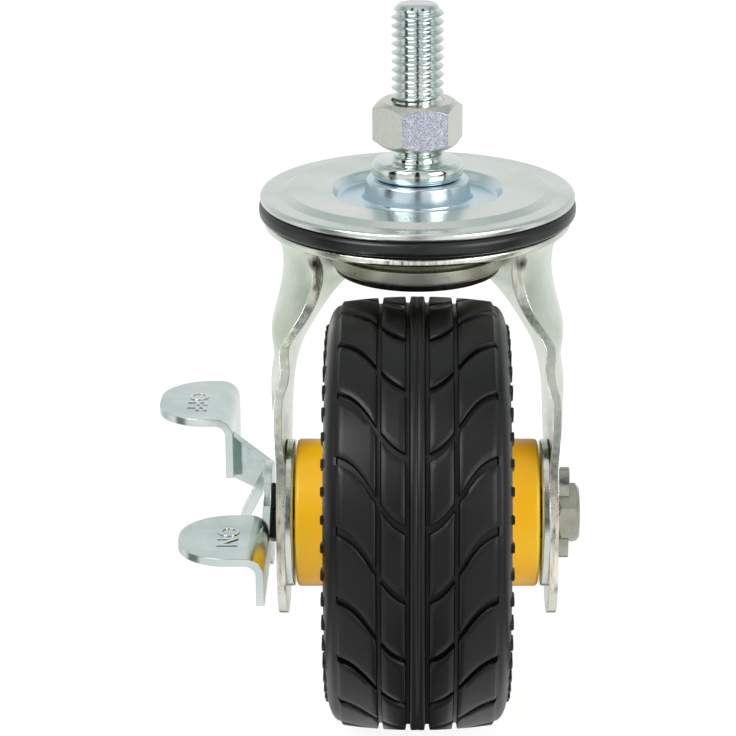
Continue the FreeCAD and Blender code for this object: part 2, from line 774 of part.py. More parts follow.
def sipe(turn, sign):
    """One swaying slanted cut, from the centre groove out past the edge of the tread."""
    radius = size("tyre_radius")
    floor = radius - size("groove_depth")
    over = radius + size("groove_depth")
    start = size("centre_groove")
    stop = size(f"{TREAD_HALF} + sipe_overrun")
    half = size("sipe_width") / 2 / radius
    sections = []
    for i in range(SIPE_STEPS + 1):
        share = i / SIPE_STEPS
        sway = size("sipe_sway") * math.sin(2 * math.pi * share) / (2 * math.pi)
        across = sign * (start + (stop - start) * share)
        middle = turn + size("sipe_rise") * (share - sway) / radius
        ring = [(floor, middle - half), (floor, middle + half), (over, middle + half), (over, middle - half)]
        corners = [Vector(across, -reach * math.cos(angle), reach * math.sin(angle)) for reach, angle in ring]
        sections.append(Part.makePolygon(corners + corners[:1]))
    return Part.makeLoft(sections, True, True)


def tyre():
    """Solid rubber tyre with ribs, slanting cuts and small lugs on its shoulders."""
    solid = tyre_profile().revolve(Vector(), Vector(1, 0, 0), 360)
    count = int(size("sipe_count"))
    cutters = [sipe(2 * math.pi * i / count, sign) for i in range(count) for sign in (-1, 1)]
    solid = solid.cut(Part.makeCompound(cutters))
    root = size("lug_root")
    depth = root + size("lug_proud")
    long = size("lug_length")
    wide = size("lug_width")
    top = size("tyre_radius - tyre_crown - shoulder_step - lug_drop")
    lug_count = int(size("lug_count"))
    lugs = []
    for i in range(lug_count):
        for sign in (-1, 1):
            low_x = size("tyre_half") - root if sign > 0 else -size("tyre_half") - size("lug_proud")
            lug = Part.makeBox(depth, wide, long, Vector(low_x, -wide / 2, top - long))
            lug.rotate(Vector(), Vector(1, 0, 0), 360.0 * (i + 0.5) / lug_count)
            lugs.append(lug)
    solid = solid.fuse(lugs)
    solid.translate(Vector(0, -size("trail"), -size(AXLE_DROP)))
    feature("tyre", solid)


def bent_tab(inner_face, outer_reach, top, web, near, far):
    """A sheet that runs flat outwards from a bend and down into a web, as long as near to far."""
    thick = size("brake_sheet")
    bend = size("pedal_bend")
    x_face = -inner_face
    corner = Vector(x_face - bend, near, top - bend)
    outer_bend = Part.Arc(Vector(x_face - bend, near, top), corner + Vector(bend, 0, bend) * DIAGONAL,
                          Vector(x_face, near, top - bend)).toShape()
    tight = bend - thick
    inner_bend = Part.Arc(Vector(x_face - thick, near, top - bend),
                          corner + Vector(tight, 0, tight) * DIAGONAL,
                          Vector(x_face - bend, near, top - thick)).toShape()
    low = top - web
    edges = [
        Part.makeLine(Vector(-outer_reach, near, top), Vector(x_face - bend, near, top)),
        outer_bend,
        Part.makeLine(Vector(x_face, near, top - bend), Vector(x_face, near, low)),
        Part.makeLine(Vector(x_face, near, low), Vector(x_face - thick, near, low)),
        Part.makeLine(Vector(x_face - thick, near, low), Vector(x_face - thick, near, top - bend)),
        inner_bend,
        Part.makeLine(Vector(x_face - bend, near, top - thick), Vector(-outer_reach, near, top - thick)),
        Part.makeLine(Vector(-outer_reach, near, top - thick), Vector(-outer_reach, near, top)),
    ]
    solid = Part.Face(Part.Wire(edges)).extrude(Vector(0, far - near, 0))
    rounding = size("pedal_corner")
    margin = size("cut_margin")
    block = Part.makeBox(outer_reach - inner_face + margin, far - near, web + 2 * margin,
                         Vector(-outer_reach, near, low - margin))
    tall = [edge for edge in block.Edges
            if abs(edge.Vertexes[0].X + outer_reach) < 1e-6 and abs(edge.Vertexes[1].X + outer_reach) < 1e-6
            and abs(edge.Vertexes[0].Z - edge.Vertexes[1].Z) > 1]
    return solid.common(block.makeFillet(rounding, tall))


def plate(points, x_low, thick):
    """A flat plate in the side plane, from its outline's corners."""
    corners = [Vector(x_low, a, b) for a, b in points]
    return Part.Face(Part.makePolygon(corners + corners[:1])).extrude(Vector(thick, 0, 0))


def pedal_tab(inner_face, side):
    """One pedal with its web; side is front (towards -Y) or rear."""
    sign = -1 if side == "front" else 1
    middle = sign * size(f"{side}_pedal_reach")
    half = size(f"{side}_pedal_depth") / 2
    return bent_tab(inner_face, inner_face + size(f"{side}_pedal_width"), size(f"{side}_pedal_lift"),
                    size(f"{side}_web"), middle - half, middle + half)


def side_rectangle(place, inner_face, low, high):
    """Section of the brake's sheet across Y, used as one end of its joggle."""
    outer_face = inner_face + size("brake_sheet")
    corners = [Vector(-outer_face, place, low), Vector(-inner_face, place, low),
               Vector(-inner_face, place, high), Vector(-outer_face, place, high)]
    return Part.makePolygon(corners + corners[:1])


def brake_tongue():
    """Tongue punched out of the plate and bent down and outwards."""
    inner = size(PLATE_INNER)
    thick = size("tongue_sheet")
    top = size("tongue_root") + thick
    end = top - size("tongue_length")
    flare = size("tongue_flare")
    near = -size("tongue_place + tongue_width / 2")
    wedge = [Vector(-inner, near, top), Vector(-inner - thick, near, top),
             Vector(-inner - thick - flare, near, end), Vector(-inner - flare, near, end)]
    tongue = Part.Face(Part.makePolygon(wedge + wedge[:1])).extrude(Vector(0, size("tongue_width"), 0))
    hole_centre = Vector(-inner, -size("tongue_place"), size("tongue_root - tongue_hole_drop"))
    hole = Part.makeCylinder(size("tongue_hole_radius"), thick + flare, hole_centre, Vector(-1, 0, 0))
    return tongue.cut(hole)


def stop_tab():
    """Small round-ended tab on the plate's outer face, under the front pedal."""
    thick = size("brake_sheet")
    half = size("stop_width") / 2
    low = -size("stop_reach") + half
    place = -size("stop_place")
    outer = -size(PLATE_OUTER) - thick
    strip = Part.makeBox(thick, 2 * half, size("stop_height") - half, Vector(outer, place - half, low))
    return strip.fuse(Part.makeCylinder(half, thick, Vector(outer, place, low), Vector(1, 0, 0)))


def brake_rocker():
    """Two pedals on one bent sheet that rocks about the axle: front pedal low, rear pedal high."""
    thick = size("brake_sheet")
    inner = size(PLATE_INNER)
    outer = size(PLATE_OUTER)
    lobe_radius = size("brake_lobe")
    shift = size("rear_offset")
    front_end = size("front_pedal_depth / 2 - front_pedal_reach")
    front_low = size("front_pedal_lift - front_web")
    front_high = size("front_pedal_lift - pedal_bend")
    rear_high = size("rear_pedal_lift - pedal_bend")
    joggle_front = size("joggle_front")
    joggle_rear = size("joggle_rear")
    arm_low = size("arm_low")
    arm_base = arm_low - size("arm_dip")
    arm_top = rear_high - size("arm_top_gap")
    lobe = Part.makeCylinder(lobe_radius, thick, Vector(-outer, 0, 0), Vector(1, 0, 0))
    bridge_front = front_end - size("bridge_overlap")
    bridge = plate([(bridge_front, front_low), (0, -size("bridge_low")), (0, lobe_radius),
                    (bridge_front, front_high)], -outer, thick)
    arm = plate([(0, -size("arm_root")), (joggle_front, arm_base), (joggle_front, arm_top), (0, lobe_radius)],
                -outer, thick)
    joggle = Part.makeLoft([side_rectangle(joggle_front, inner, arm_base, arm_top),
                            side_rectangle(joggle_rear, inner + shift, arm_low, rear_high)], True, True)
    reach = size("rear_pedal_reach")
    tail = plate([(joggle_rear, arm_low), (reach, size("rear_pedal_lift - rear_web")), (reach, rear_high),
                  (joggle_rear, rear_high)], -outer - shift, thick)
    pieces = [pedal_tab(inner + shift, "rear"), lobe, bridge, arm, joggle, tail, stop_tab()]
    body = pedal_tab(inner, "front").fuse(pieces).removeSplitter()
    tongue = brake_tongue()
    for piece in (body, tongue):
        piece.translate(Vector(0, -size("trail"), -size(AXLE_DROP)))
    margin = size("cut_margin")
    hole = hex_body(size("brake_nut_flats"), 0.0, -outer - margin, -inner + margin, 0, True)
    feature("brake_rocker", body.cut(hole).fuse(tongue))


def brake_nut():
    """Clamping nut on the axle, staked into the rocker's hexagon hole."""
    low = -size(PLATE_OUTER)
    high = -size(LEG_OUTER)
    feature("brake_nut", hex_body(size("brake_nut_flats"), 0.0, low, high,
                                  size("axle_radius + brake_nut_gap"), True))


threaded_stem()
stem_nut()
top_disc()
dust_seal()
lower_race()
bottom_cover()
ball_row("upper_balls", "upper_ball_radius", "upper_ball_space", "ridge_radius", UPPER_BALL)
ball_row("lower_balls", "lower_ball_radius", "lower_ball_space", LOWER_PITCH, LOWER_BALL)
fork()
axle_parts()
for side, sign in (("left", "-"), ("right", "")):
    side_disc(side, sign)
    bearing(side, sign)
wheel_hub()
tyre()
brake_rocker()
brake_nut()

doc.recompute()
for item in doc.Objects:
    if "Invalid" in item.State or "Error" in item.State:
        raise RuntimeError(f"{item.Label} failed: {item.State}")
os.makedirs("parts", exist_ok=True)
for item in PARTS:
    shape = item.Shape
    if shape.isNull() or not shape.isValid():
        raise RuntimeError(f"{item.Label} has no sound shape")
    shape.exportStep(f"parts/{item.Label}.step")
    box = shape.BoundBox
    print(f"{item.Label}: {len(shape.Solids)} solid, volume {shape.Volume:.1f}, "
          f"x {box.XMin:.1f} {box.XMax:.1f}, y {box.YMin:.1f} {box.YMax:.1f}, "
          f"z {box.ZMin:.1f} {box.ZMax:.1f}")
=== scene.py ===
import bmesh
import bpy
import json
import math
from mathutils import Matrix, Vector


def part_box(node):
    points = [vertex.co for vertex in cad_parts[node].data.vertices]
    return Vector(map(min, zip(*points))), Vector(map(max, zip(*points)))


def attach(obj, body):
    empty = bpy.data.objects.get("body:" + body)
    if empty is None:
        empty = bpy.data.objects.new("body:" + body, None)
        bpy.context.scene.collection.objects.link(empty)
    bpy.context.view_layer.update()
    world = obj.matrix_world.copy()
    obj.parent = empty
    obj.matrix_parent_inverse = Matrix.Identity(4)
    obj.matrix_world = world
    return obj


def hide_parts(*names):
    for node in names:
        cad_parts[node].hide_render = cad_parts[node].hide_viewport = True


# A braked swivel caster in front of a white backdrop. Places come from the frame, in metres.

MM = 0.001

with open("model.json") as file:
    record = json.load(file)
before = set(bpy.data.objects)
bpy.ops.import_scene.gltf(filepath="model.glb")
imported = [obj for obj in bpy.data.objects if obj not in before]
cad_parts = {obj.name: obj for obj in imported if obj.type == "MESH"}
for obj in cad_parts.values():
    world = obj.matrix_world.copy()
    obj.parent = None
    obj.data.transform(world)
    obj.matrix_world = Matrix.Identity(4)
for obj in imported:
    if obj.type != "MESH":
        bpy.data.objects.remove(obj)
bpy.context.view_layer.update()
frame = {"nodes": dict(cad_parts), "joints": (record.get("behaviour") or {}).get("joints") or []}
nodes = frame["nodes"]

wheel_spin = next(item for item in frame["joints"] if item["name"] == "wheel_spin")
AXLE = Vector((0, *wheel_spin["pos_m"][1:]))
STUD_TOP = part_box("threaded_stem")[1].z
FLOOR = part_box("tyre")[0].z
FLOOR_REACH = 3.0

# Stud: half-inch thread with twelve turns to the inch, standing in a round collar.
STUD_RADIUS = 6.25 * MM
THREAD_PITCH = 2.117 * MM
THREAD_DEPTH = 1.25 * MM
THREAD_STEPS = 72
STUD_END_RADIUS = 4.5 * MM
STUD_SUNK = 0.5 * MM
COLLAR_TOP = -14.7 * MM
COLLAR_BASE = -19.0 * MM
COLLAR_RADIUS = 11.0 * MM
COLLAR_ROUND = 1.5 * MM
COLLAR_FILLET = 0.6 * MM
COLLAR_STEPS = 96
NECK_RADIUS = 6.2 * MM
NECK_RISE = 1.3 * MM
NECK_SEAT = 0.52 * MM
NECK_ROUND = 0.7 * MM

# Kingpin: the spigot under the collar, the pin inside the fork and its riveted end.
SPIGOT_RADIUS = 8.6 * MM
SPIGOT_DEPTH = 7.3 * MM
KINGPIN_RADIUS = 7.6 * MM
RACE_FLOOR = 2.4 * MM
RIVET_RADIUS = 5.0 * MM
RIVET_HEAD_RADIUS = 7.2 * MM
RIVET_HEAD_THICK = 0.9 * MM
RIVET_HEAD_ROUND = 0.5 * MM
RIVET_HEAD_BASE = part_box("threaded_stem")[0].z
RIVET_HEAD_TOP = RIVET_HEAD_BASE + RIVET_HEAD_THICK
KINGPIN_BASE = RIVET_HEAD_TOP + RACE_FLOOR

# Tyre: outer radius, groove depth and the places of its ribs, measured from the wheel's middle.
TYRE_RADIUS = 51.0 * MM
TYRE_CROWN = 1.2 * MM
GROOVE_DEPTH = 1.4 * MM
GROOVE_HALF = 0.6 * MM
GROOVE_DRAFT = 0.2 * MM
HAIRLINE = 0.14 * MM
HAIRLINE_SIDE = 0.8 * MM
CENTRE_GROOVE = 2.2 * MM
SIDE_GROOVE = 8.6 * MM
TREAD_HALF = 17.4 * MM
TYRE_HALF = 21.0 * MM
BEAD_HALF = 19.0 * MM
BEAD_RADIUS = 33.0 * MM
SHOULDER_STEP = 0.9 * MM
SHOULDER_LEDGE = 0.4 * MM
SHOULDER_ROUND = 7.5 * MM
WALL_BULGE = 0.4 * MM
EDGE_ROUND = 0.22 * MM
EDGE_SINK = EDGE_ROUND * 0.6
INNER_RIB_STEPS = 4
OUTER_RIB_STEPS = 7
SHOULDER_STEPS = 7
WALL_STEPS = 6

# Tread: slanted cuts that climb round the tyre, and the small lugs on both sidewalls.
CUT_COUNT = 20
CUT_HALF = 1.0 * MM
CUT_RISE = 15.9 * MM
CUT_SWAY = 0.55
BLOCK_STEPS = 7
PITCH_JOIN = 0.01 * MM
LUG_COUNT = 44
LUG_LENGTH = 3.6 * MM
LUG_WIDTH = 2.1 * MM
LUG_THICK = 2.7 * MM
LUG_PROUD = 0.4 * MM
LUG_DROP = 4.5 * MM
LUG_EASE = 0.25 * MM

# Fork: the torn notch where each leg leaves the crown, with the reach of its dark stain.
ROOT_NOTCH = (24.5 * MM, -24.0 * MM, -34.0 * MM)
NOTCH_CORE = 2.2 * MM
NOTCH_REACH = 3.6 * MM
NOTCH_RAGGED = 2.4 * MM

# Brake: the middle of each word on its pedal, from the axle, and the size of the letters.
FRONT_WORD = Vector((-42.9, -28.0, 5.7)) * MM
REAR_WORD = Vector((-53.8, 28.0, 17.5)) * MM
WORD_HEIGHT = 6.6 * MM
WORD_BOLD = 0.16 * MM
WORD_PROUD = 0.22 * MM
WORD_SPACING = 1.15

# Finishes: the size of each pattern. Real plating grain, turning marks and moulding grain are too fine
# for the picture, so they are drawn as coarse as they need to show.
TINT_CLOUD = 14.29 * MM
DISC_CLOUD = 22.22 * MM
BLOOM_CLOUD = 16.67 * MM
NYLON_CLOUD = 11.11 * MM
PLATING_GRAIN = 1.111 * MM
SATIN_GRAIN = 1.429 * MM
OIL_MOTTLE = 1.667 * MM
TORN_STREAK = 1.613 * MM
STREAK_SQUEEZE = 0.16
TURNING_MARK = 0.3846 * MM
FORGED_SPECKLE = 0.3571 * MM
GRINDING_GRAIN = 0.6667 * MM
RUBBER_GRAIN = 0.5556 * MM
NYLON_GRAIN = 0.7143 * MM
METAL_RELIEF = 0.2 * MM
MOULD_RELIEF = 0.1 * MM
EASED_EDGE = 0.25 * MM
NUT_EASED_EDGE = 0.4 * MM
EDGE_SAMPLES = 6
# Radii where the painted bluish reflection in the recess round the collar fades into the rim.
DISH_FLOOR = 19.0 * MM
DISH_RIM = 22.0 * MM

# Camera: the photograph's viewing angle, worked out from the wheel, the disc and the legs.
VIEW_DISTANCE = 0.632
VIEW_DROP = math.radians(19.5)
VIEW_AIM = Vector((0, 0, -0.068))
FOCAL_PIXELS = 2555.0
IMAGE_PIXELS = 736.0
CENTRE_PIXEL = 417.5
SENSOR = 36.0
LAMP_AIM = Vector((0, 0, -0.06))


def linear(code):
    """A colour written as a hex code, turned to linear light."""
    channels = [int(code[i:i + 2], 16) / 255 for i in (1, 3, 5)]
    return tuple(c / 12.92 if c <= 0.04045 else ((c + 0.055) / 1.055) ** 2.4 for c in channels) + (1.0,)


def add(tree, kind, settings=None, stops=(), **inputs):
    """One node with its settings and colour stops; inputs are values or the sockets that feed them."""
    node = tree.nodes.new(kind)
    for name, value in (settings or {}).items():
        setattr(node, name, value)
    if stops:
        band = node.color_ramp.elements
        while len(band) < len(stops):
            band.new(0.5)
        for element, (place, code) in zip(band, stops):
            element.position = place
            element.color = linear(code)
    for name, value in inputs.items():
        key = int(name[1:]) if name[0] == "_" and name[1:].isdigit() else name.replace("_", " ")
        if isinstance(value, bpy.types.NodeSocket):
            tree.links.new(value, node.inputs[key])
        else:
            node.inputs[key].default_value = value
    return node


def new_material(name):
    """An empty material, its tree, and the place of each point on the piece."""
    material = bpy.data.materials.new(name)
    material.use_nodes = True
    tree = material.node_tree
    tree.nodes.clear()
    place = add(tree, "ShaderNodeTexCoord").outputs["Object"]
    return material, tree, place


def finished(material, **inputs):
    """The material with its surface, which the named inputs feed."""
    tree = material.node_tree
    shader = add(tree, "ShaderNodeBsdfPrincipled", **inputs)
    add(tree, "ShaderNodeOutputMaterial", Surface=shader.outputs[0])
    return material


def zinc_plate(name, dark, middle, pale, rough, metal=1.0):
    """Blue-white zinc plating on pressed steel: a soft mirror with cloudy passivation tints."""
    material, tree, place = new_material(name)
    cloud = add(tree, "ShaderNodeTexNoise", Vector=place, Scale=1 / TINT_CLOUD, Detail=3.0, Roughness=0.55)
    colour = add(tree, "ShaderNodeValToRGB", stops=[(0.3, dark), (0.5, middle), (0.7, pale)],
                 Fac=cloud.outputs["Fac"])
    grain = add(tree, "ShaderNodeTexNoise", Vector=place, Scale=1 / PLATING_GRAIN, Detail=4.0, Roughness=0.6)
    gloss = add(tree, "ShaderNodeMapRange", Value=grain.outputs["Fac"], From_Min=0.3, From_Max=0.7,
                To_Min=rough * 0.75, To_Max=rough * 1.35)
    edges = add(tree, "ShaderNodeBevel", {"samples": EDGE_SAMPLES}, Radius=EASED_EDGE)
    bump = add(tree, "ShaderNodeBump", Strength=0.06, Distance=METAL_RELIEF, Height=grain.outputs["Fac"],
               Normal=edges.outputs["Normal"])
    return finished(material, Base_Color=colour.outputs["Color"], Metallic=metal,
                    Roughness=gloss.outputs["Result"], Normal=bump.outputs["Normal"])


def sheared_plate(name):
    """Zinc on blanked sheet steel: satin faces, and cut edges with a burnished and a torn band."""
    material, tree, place = new_material(name)
    cloud = add(tree, "ShaderNodeTexNoise", Vector=place, Scale=1 / TINT_CLOUD, Detail=3.0, Roughness=0.55)
    face = add(tree, "ShaderNodeValToRGB", stops=[(0.3, "#d3d9c8"), (0.5, "#e1e5d8"), (0.7, "#eef0e6")],
               Fac=cloud.outputs["Fac"])
    # The tear runs down the edge, so its streaks are long in height.
    stretched = add(tree, "ShaderNodeMapping", Vector=place, Scale=(1.0, 1.0, STREAK_SQUEEZE))
    torn = add(tree, "ShaderNodeTexNoise", Vector=stretched.outputs["Vector"], Scale=1 / TORN_STREAK,
               Detail=4.0, Roughness=0.65)
    edge = add(tree, "ShaderNodeValToRGB", stops=[(0.36, "#77786a"), (0.44, "#d9d7c8"), (0.58, "#fffdf2")],
               Fac=torn.outputs["Fac"])
    # A cut edge faces forwards or backwards, and a pressed face does not.
    facing = add(tree, "ShaderNodeSeparateXYZ", Vector=add(tree, "ShaderNodeTexCoord").outputs["Normal"])
    along = add(tree, "ShaderNodeMath", {"operation": "ABSOLUTE"}, _0=facing.outputs["Y"])
    cut = add(tree, "ShaderNodeMapRange", Value=along.outputs[0], From_Min=0.9, From_Max=0.97)
    sheet = add(tree, "ShaderNodeMix", {"data_type": "RGBA"}, Factor=cut.outputs["Result"],
                A=face.outputs["Color"], B=edge.outputs["Color"])
    # The stain in the notch at each leg's root has a ragged rim.
    spot = add(tree, "ShaderNodeSeparateXYZ", Vector=place)
    either = add(tree, "ShaderNodeMath", {"operation": "ABSOLUTE"}, _0=spot.outputs["X"])
    folded = add(tree, "ShaderNodeCombineXYZ", X=either.outputs[0], Y=spot.outputs["Y"], Z=spot.outputs["Z"])
    reach = add(tree, "ShaderNodeVectorMath", {"operation": "DISTANCE"}, _0=folded.outputs[0], _1=ROOT_NOTCH)
    ragged = add(tree, "ShaderNodeMath", {"operation": "MULTIPLY_ADD"}, _0=torn.outputs["Fac"],
                 _1=NOTCH_RAGGED, _2=reach.outputs["Value"])
    notch = add(tree, "ShaderNodeMapRange", Value=ragged.outputs[0], From_Min=NOTCH_CORE,
                From_Max=NOTCH_REACH, To_Min=1.0, To_Max=0.0)
    stained = add(tree, "ShaderNodeMix", {"data_type": "RGBA"}, Factor=notch.outputs["Result"],
                  A=sheet.outputs["Result"], B=linear("#2b2620"))
    grain = add(tree, "ShaderNodeTexNoise", Vector=place, Scale=1 / SATIN_GRAIN, Detail=4.0, Roughness=0.6)
    satin = add(tree, "ShaderNodeMapRange", Value=grain.outputs["Fac"], From_Min=0.3, From_Max=0.7,
                To_Min=0.16, To_Max=0.28)
    rough = add(tree, "ShaderNodeMath", {"operation": "MULTIPLY_ADD"}, _0=cut.outputs["Result"], _1=0.12,
                _2=satin.outputs["Result"])
    height = add(tree, "ShaderNodeMath", {"operation": "MULTIPLY_ADD"}, _0=cut.outputs["Result"],
                 _1=torn.outputs["Fac"], _2=grain.outputs["Fac"])
    edges = add(tree, "ShaderNodeBevel", {"samples": EDGE_SAMPLES}, Radius=EASED_EDGE)
    bump = add(tree, "ShaderNodeBump", Strength=0.1, Distance=METAL_RELIEF, Height=height.outputs[0],
               Normal=edges.outputs["Normal"])
    sheen = add(tree, "ShaderNodeMapRange", Value=cut.outputs["Result"], To_Min=1.0, To_Max=0.6)
    return finished(material, Base_Color=stained.outputs["Result"], Metallic=sheen.outputs["Result"],
                    Roughness=rough.outputs[0], Normal=bump.outputs["Normal"])


def turned_zinc(name):
    """Zinc on a spun disc: fine rings about the swivel axis stretch the highlights."""
    material, tree, place = new_material(name)
    spot = add(tree, "ShaderNodeSeparateXYZ", Vector=place)
    flat = add(tree, "ShaderNodeCombineXYZ", X=spot.outputs["X"], Y=spot.outputs["Y"])
    radius = add(tree, "ShaderNodeVectorMath", {"operation": "LENGTH"}, _0=flat.outputs["Vector"])
    rings = add(tree, "ShaderNodeTexNoise", {"noise_dimensions": "1D"}, W=radius.outputs["Value"],
                Scale=1 / TURNING_MARK, Detail=3.0, Roughness=0.6)
    cloud = add(tree, "ShaderNodeTexNoise", Vector=place, Scale=1 / DISC_CLOUD, Detail=3.0, Roughness=0.5)
    plate = add(tree, "ShaderNodeValToRGB", stops=[(0.3, "#d3d9d3"), (0.5, "#e1e5e0"), (0.7, "#eef0ec")],
                Fac=cloud.outputs["Fac"])
    # Painted reflection: the recess round the collar is painted bluer than the rim, as the reflection it
    # shows.
    dish_reflection = add(tree, "ShaderNodeMapRange", Value=radius.outputs["Value"], From_Min=DISH_FLOOR,
               From_Max=DISH_RIM, To_Min=1.0, To_Max=0.0)
    colour = add(tree, "ShaderNodeMix", {"data_type": "RGBA"}, Factor=dish_reflection.outputs["Result"],
                 A=plate.outputs["Color"], B=linear("#d6e5ef"))
    gloss = add(tree, "ShaderNodeMapRange", Value=rings.outputs["Fac"], From_Min=0.3, From_Max=0.7,
                To_Min=0.2, To_Max=0.26)
    edges = add(tree, "ShaderNodeBevel", {"samples": EDGE_SAMPLES}, Radius=EASED_EDGE)
    bump = add(tree, "ShaderNodeBump", Strength=0.012, Distance=METAL_RELIEF, Height=rings.outputs["Fac"],
               Normal=edges.outputs["Normal"])
    return finished(material, Base_Color=colour.outputs["Result"], Metallic=1.0,
                    Roughness=gloss.outputs["Result"], Normal=bump.outputs["Normal"])


def speckled_nut(name):
    """Zinc on a cold-forged nut: a satin skin; the front facet is grainy, and is painted a darker mottled
    lilac as a painted reflection.
    """
    material, tree, place = new_material(name)
    cells = add(tree, "ShaderNodeTexVoronoi", Vector=place, Scale=1 / FORGED_SPECKLE)
    noise = add(tree, "ShaderNodeTexNoise", Vector=place, Scale=1 / PLATING_GRAIN, Detail=5.0, Roughness=0.7)
    mottle = add(tree, "ShaderNodeMath", {"operation": "MULTIPLY"}, _0=cells.outputs["Distance"],
                 _1=noise.outputs["Fac"])
    # Painted reflection: the facet that faces the camera is painted a darker mottled lilac over its real
    # grain.
    facing = add(tree, "ShaderNodeSeparateXYZ", Vector=add(tree, "ShaderNodeTexCoord").outputs["Normal"])
    front = add(tree, "ShaderNodeMapRange", Value=facing.outputs["Y"], From_Min=-0.94, From_Max=-0.86,
                To_Min=1.0, To_Max=0.0)
    plain = add(tree, "ShaderNodeValToRGB", stops=[(0.3, "#d6d6cd"), (0.7, "#e3e3da")],
                Fac=noise.outputs["Fac"])
    lilac = add(tree, "ShaderNodeValToRGB", stops=[(0.05, "#777d99"), (0.17, "#aeb3c6"), (0.4, "#d9dce2")],
                Fac=mottle.outputs["Value"])
    colour = add(tree, "ShaderNodeMix", {"data_type": "RGBA"}, Factor=front.outputs["Result"],
                 A=plain.outputs["Color"], B=lilac.outputs["Color"])
    gloss = add(tree, "ShaderNodeMapRange", Value=noise.outputs["Fac"], From_Min=0.3, From_Max=0.7,
                To_Min=0.22, To_Max=0.28)
    grainy = add(tree, "ShaderNodeMath", {"operation": "MULTIPLY"}, _0=mottle.outputs["Value"],
                 _1=front.outputs["Result"])
    edges = add(tree, "ShaderNodeBevel", {"samples": EDGE_SAMPLES}, Radius=NUT_EASED_EDGE)
    bump = add(tree, "ShaderNodeBump", Strength=0.04, Distance=METAL_RELIEF, Height=grainy.outputs["Value"],
               Normal=edges.outputs["Normal"])
    return finished(material, Base_Color=colour.outputs["Result"], Metallic=1.0,
                    Roughness=gloss.outputs["Result"], Normal=bump.outputs["Normal"])


def black_steel(name):
    """Blackened steel: a dark oily skin, half matt and unevenly wiped."""
    material, tree, place = new_material(name)
    oil = add(tree, "ShaderNodeTexNoise", Vector=place, Scale=1 / OIL_MOTTLE, Detail=4.0, Roughness=0.6)
    colour = add(tree, "ShaderNodeValToRGB", stops=[(0.3, "#141a18"), (0.7, "#3a413d")],
                 Fac=oil.outputs["Fac"])
    gloss = add(tree, "ShaderNodeMapRange", Value=oil.outputs["Fac"], From_Min=0.3, From_Max=0.7,
                To_Min=0.3, To_Max=0.55)
    return finished(material, Base_Color=colour.outputs["Color"], Metallic=0.7,
                    Roughness=gloss.outputs["Result"])


def ground_steel(name):
    """Ground bearing steel: a cool grey mirror, faintly dulled by the grinding wheel's grit."""
    material, tree, place = new_material(name)
    grit = add(tree, "ShaderNodeTexNoise", Vector=place, Scale=1 / GRINDING_GRAIN, Detail=3.0, Roughness=0.5)
    gloss = add(tree, "ShaderNodeMapRange", Value=grit.outputs["Fac"], From_Min=0.3, From_Max=0.7,
                To_Min=0.15, To_Max=0.3)
    return finished(material, Base_Color=linear("#b4b5b6"), Metallic=1.0, Roughness=gloss.outputs["Result"])


def moulded_rubber(name, dark, pale, rough, sheen):
    """Moulded rubber: matt, with a broad soft sheen and a faint bloom."""
    material, tree, place = new_material(name)
    cloud = add(tree, "ShaderNodeTexNoise", Vector=place, Scale=1 / BLOOM_CLOUD, Detail=4.0, Roughness=0.6)
    grain = add(tree, "ShaderNodeTexNoise", Vector=place, Scale=1 / RUBBER_GRAIN, Detail=3.0, Roughness=0.6)
    colour = add(tree, "ShaderNodeValToRGB", stops=[(0.3, dark), (0.7, pale)], Fac=cloud.outputs["Fac"])
    gloss = add(tree, "ShaderNodeMapRange", Value=cloud.outputs["Fac"], From_Min=0.3, From_Max=0.7,
                To_Min=rough * 0.85, To_Max=rough * 1.15)
    bump = add(tree, "ShaderNodeBump", Strength=0.15, Distance=MOULD_RELIEF, Height=grain.outputs["Fac"])
    return finished(material, Base_Color=colour.outputs["Color"], Specular_IOR_Level=sheen,
                    Roughness=gloss.outputs["Result"], Normal=bump.outputs["Normal"])


def moulded_nylon(name):
    """Moulded nylon: golden yellow with a satin skin that lets a little light in."""
    material, tree, place = new_material(name)
    cloud = add(tree, "ShaderNodeTexNoise", Vector=place, Scale=1 / NYLON_CLOUD, Detail=3.0, Roughness=0.5)
    grain = add(tree, "ShaderNodeTexNoise", Vector=place, Scale=1 / NYLON_GRAIN, Detail=3.0, Roughness=0.6)
    colour = add(tree, "ShaderNodeValToRGB", stops=[(0.3, "#ffc300"), (0.7, "#ffcf0c")],
                 Fac=cloud.outputs["Fac"])
    gloss = add(tree, "ShaderNodeMapRange", Value=grain.outputs["Fac"], From_Min=0.3, From_Max=0.7,
                To_Min=0.28, To_Max=0.42)
    bump = add(tree, "ShaderNodeBump", Strength=0.08, Distance=MOULD_RELIEF, Height=grain.outputs["Fac"])
    return finished(material, Base_Color=colour.outputs["Color"], Roughness=gloss.outputs["Result"],
                    Normal=bump.outputs["Normal"], Subsurface_Weight=0.08, Subsurface_Scale=2.0 * MM)


def into_scene(name, data):
    """A new object of the scene that holds the data."""
    item = bpy.data.objects.new(name, data)
    bpy.context.scene.collection.objects.link(item)
    return item


def piece_from(mesh, name, material, sharp_angle):
    """Turns mesh data into a named, shaded object of the scene."""
    mesh.validate()
    for face in mesh.polygons:
        face.use_smooth = True
    mesh.set_sharp_from_angle(angle=math.radians(sharp_angle))
    mesh.materials.clear()
    mesh.materials.append(material)
    return into_scene(name, mesh)


def skin(rows, closed=False):
    """Quads through rows of points; where closed, the last row joins the first."""
    work = bmesh.new()
    grid = [[work.verts.new(point) for point in row] for row in rows]
    for i in range(len(grid) if closed else len(grid) - 1):
        near, far = grid[i], grid[(i + 1) % len(grid)]
        for j in range(len(near) - 1):
            work.faces.new((near[j], near[j + 1], far[j + 1], far[j]))
    return work


def mesh_from(work, name):
    """The work's faces, turned outwards, as mesh data."""
    bmesh.ops.recalc_face_normals(work, faces=work.faces)
    mesh = bpy.data.meshes.new(name)
    work.to_mesh(mesh)
    work.free()
    return mesh


